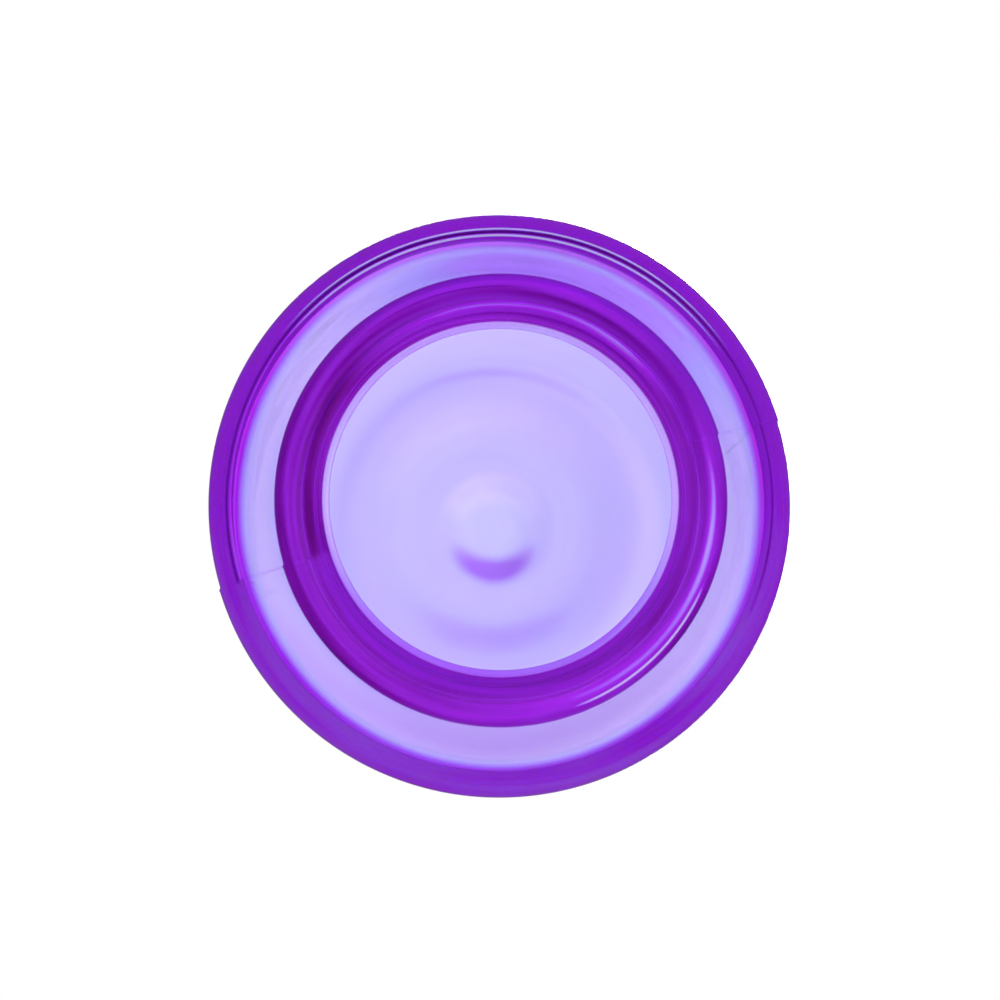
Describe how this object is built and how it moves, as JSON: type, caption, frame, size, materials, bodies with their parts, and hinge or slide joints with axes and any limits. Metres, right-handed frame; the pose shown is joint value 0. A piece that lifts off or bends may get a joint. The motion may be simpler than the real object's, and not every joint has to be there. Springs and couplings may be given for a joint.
{
  "type": "silicone cupping cup",
  "caption": "Jar-shaped suction cup of soft translucent silicone with a thick mouth lip, a waist and a thumb dimple in a crown that presses in.",
  "frame": {"origin": "centre of the lip's contact face, where the cup rests on the skin or on a table", "axes": "+Z along the cup's axis from the mouth to the crown; X and Y are equivalent"},
  "size_m": [0.07, 0.07, 0.055],
  "materials": {
    "silicone": "smooth translucent moulded silicone, violet"
  },
  "bodies": {
    "cup_body": {"mouth_lip": "silicone", "neck": "silicone", "shoulder": "silicone", "lower_belly_wall": "silicone", "flexing_belly_wall": "silicone"},
    "crown": {"crown_corner": "silicone", "crown_panel": "silicone", "thumb_dimple": "silicone"}
  },
  "joints": [
    {"name": "crown_press", "type": "slide", "parent": "cup_body", "child": "crown", "axis": [0, 0, -1], "range_m": [0, 0.012], "stiffness_N_per_m": 1200, "deforming": ["flexing_belly_wall"]}
  ]
}
